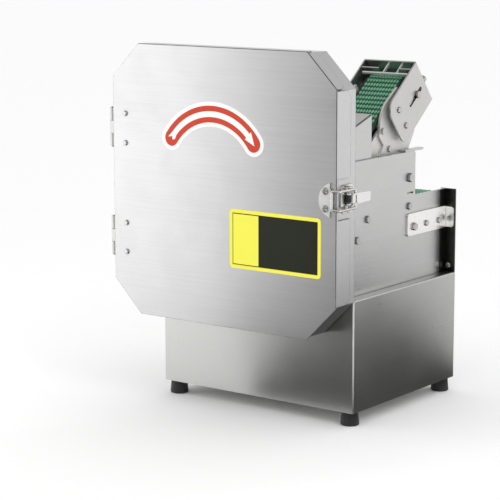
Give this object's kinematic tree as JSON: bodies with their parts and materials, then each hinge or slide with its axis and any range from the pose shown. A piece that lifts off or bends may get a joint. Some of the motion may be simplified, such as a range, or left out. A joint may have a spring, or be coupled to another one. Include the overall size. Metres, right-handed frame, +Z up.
{
  "type": "vegetable dicer",
  "caption": "Belt-fed dicer: an octagonal cutter housing with a hinged door, a base cabinet, and a feed channel with an infeed belt and a tilting press belt.",
  "frame": {"origin": "on the floor, under the centre of the base cabinet", "axes": "+Z up, -Y towards the door, +X to the side with the feed channel"},
  "size_m": [0.3664, 0.3059, 0.464],
  "materials": {
    "stainless": "folded stainless sheet, brushed one way",
    "bright_fasteners": "bright zinc or stainless hardware",
    "foot_rubber": "black moulded rubber",
    "belt_green": "green food belt with a raised pimple pattern",
    "belt_black": "black rubber V-belt",
    "dark_steel": "dark coated steel",
    "motor_paint": "grey-blue motor enamel",
    "pulley_iron": "turned cast iron",
    "bearing_plastic": "white engineering plastic",
    "button_green": "green push button",
    "button_red": "red push button",
    "knob_black": "black plastic",
    "roller_alloy": "turned aluminium alloy"
  },
  "bodies": {
    "root": {"base_cabinet": "stainless", "base_floor": "stainless", "cable_gland": "knob_black", "casing_rear_cover": "stainless", "channel_bolts": "bright_fasteners", "control_bezels": "bright_fasteners", "conveyor_bed": "stainless", "corner_bracket": "stainless", "cutter_housing": "stainless", "dicing_grid": "stainless", "drive_belt": "belt_black", "drive_casing": "stainless", "drive_motor": "motor_paint", "feed_motor": "motor_paint", "feet_screws": "bright_fasteners", "hinge_and_latch_pins": "bright_fasteners", "hinge_leaves_fixed": "stainless", "housing_screws": "bright_fasteners", "infeed_belt": "belt_green", "latch_base": "stainless", "latch_spring": "dark_steel", "panel_left": "stainless", "panel_right": "stainless", "pivot_bolts": "bright_fasteners", "rear_plate": "dark_steel", "roller_bearings": "bearing_plastic", "rubber_feet": "foot_rubber", "spindle_bearings": "bright_fasteners", "spindle_housing": "roller_alloy", "stop_strip": "stainless", "throat_hood": "stainless"},
    "door": {"door_panel": "stainless", "door_screws": "bright_fasteners", "hinge_leaves_door": "stainless", "latch_keeper": "stainless"},
    "latch_lever": {"latch_lever": "stainless"},
    "latch_bail": {"latch_bail": "stainless"},
    "cutter": {"cutter_blades": "stainless", "cutter_hub": "roller_alloy", "hub_bolts": "bright_fasteners", "spindle_shaft": "stainless", "spindle_pulley": "pulley_iron"},
    "motor_rotor": {"motor_shaft": "stainless", "motor_pulley": "pulley_iron"},
    "infeed_rear": {"infeed_roller_rear": "roller_alloy"},
    "infeed_front": {"infeed_roller_front": "roller_alloy"},
    "press_arm": {"link_plates": "stainless", "press_side_bar": "stainless", "press_frame": "stainless", "press_screws": "bright_fasteners", "press_bed": "stainless", "press_axles": "bright_fasteners", "press_belt": "belt_green", "press_tensioner": "bright_fasteners"},
    "press_tail": {"press_roller_tail": "roller_alloy"},
    "press_nose": {"press_roller_nose": "roller_alloy"},
    "start": {"start_button": "button_green"},
    "stop": {"stop_button": "button_red"},
    "emergency": {"emergency_button": "button_red"},
    "speed": {"speed_knob": "knob_black"}
  },
  "joints": [
    {"name": "door_swing", "type": "hinge", "parent": "root", "child": "door", "pos_m": [-0.2015, -0.159, 0.289], "axis": [0, 0, -1], "range_deg": [0, 170]},
    {"name": "latch_lever_turn", "type": "hinge", "parent": "root", "child": "latch_lever", "pos_m": [0.1555, -0.142, 0.289], "axis": [0, 0, -1], "range_deg": [0, 95]},
    {"name": "latch_bail_turn", "type": "hinge", "parent": "latch_lever", "child": "latch_bail", "pos_m": [0.1592, -0.134, 0.289], "axis": [0, 0, -1], "range_deg": [-114, 0]},
    {"name": "cutter_spin", "type": "hinge", "parent": "root", "child": "cutter", "pos_m": [-0.024, -0.121, 0.289], "axis": [0, 1, 0], "continuous": true},
    {"name": "motor_spin", "type": "hinge", "parent": "root", "child": "motor_rotor", "pos_m": [-0.024, -0.053, 0.082], "axis": [0, 1, 0], "continuous": true},
    {"name": "infeed_rear_spin", "type": "hinge", "parent": "root", "child": "infeed_rear", "pos_m": [0.094, 0.0945, 0.247], "axis": [1, 0, 0], "continuous": true},
    {"name": "infeed_front_spin", "type": "hinge", "parent": "root", "child": "infeed_front", "pos_m": [0.094, -0.095, 0.247], "axis": [1, 0, 0], "continuous": true},
    {"name": "press_arm_lift", "type": "hinge", "parent": "root", "child": "press_arm", "pos_m": [0.094, 0.0274, 0.2945], "axis": [-1, 0, 0], "range_deg": [0, 18]},
    {"name": "press_tail_spin", "type": "hinge", "parent": "press_arm", "child": "press_tail", "pos_m": [0.094, 0.0466, 0.3988], "axis": [1, 0, 0], "continuous": true},
    {"name": "press_nose_spin", "type": "hinge", "parent": "press_arm", "child": "press_nose", "pos_m": [0.094, -0.07899, 0.2971], "axis": [1, 0, 0], "continuous": true},
    {"name": "start_push", "type": "slide", "parent": "root", "child": "start", "axis": [1, 0, 0], "range_m": [0, 0.003], "stiffness_N_per_m": 300, "springref_m": -0.002},
    {"name": "stop_push", "type": "slide", "parent": "root", "child": "stop", "axis": [1, 0, 0], "range_m": [0, 0.003], "stiffness_N_per_m": 300, "springref_m": -0.002},
    {"name": "emergency_push", "type": "slide", "parent": "root", "child": "emergency", "axis": [1, 0, 0], "range_m": [0, 0.005]},
    {"name": "speed_turn", "type": "hinge", "parent": "root", "child": "speed", "pos_m": [-0.1495, -0.04, 0.262], "axis": [-1, 0, 0], "range_deg": [0, 270]}
  ],
  "couplings": [
    {"joint": "latch_bail_turn", "follows": "latch_lever_turn", "ratio": -1.2},
    {"joint": "motor_spin", "follows": "cutter_spin", "ratio": 1.8333},
    {"joint": "infeed_front_spin", "follows": "infeed_rear_spin", "ratio": 1},
    {"joint": "press_tail_spin", "follows": "infeed_rear_spin", "ratio": -0.97674},
    {"joint": "press_nose_spin", "follows": "infeed_rear_spin", "ratio": -0.97674}
  ]
}
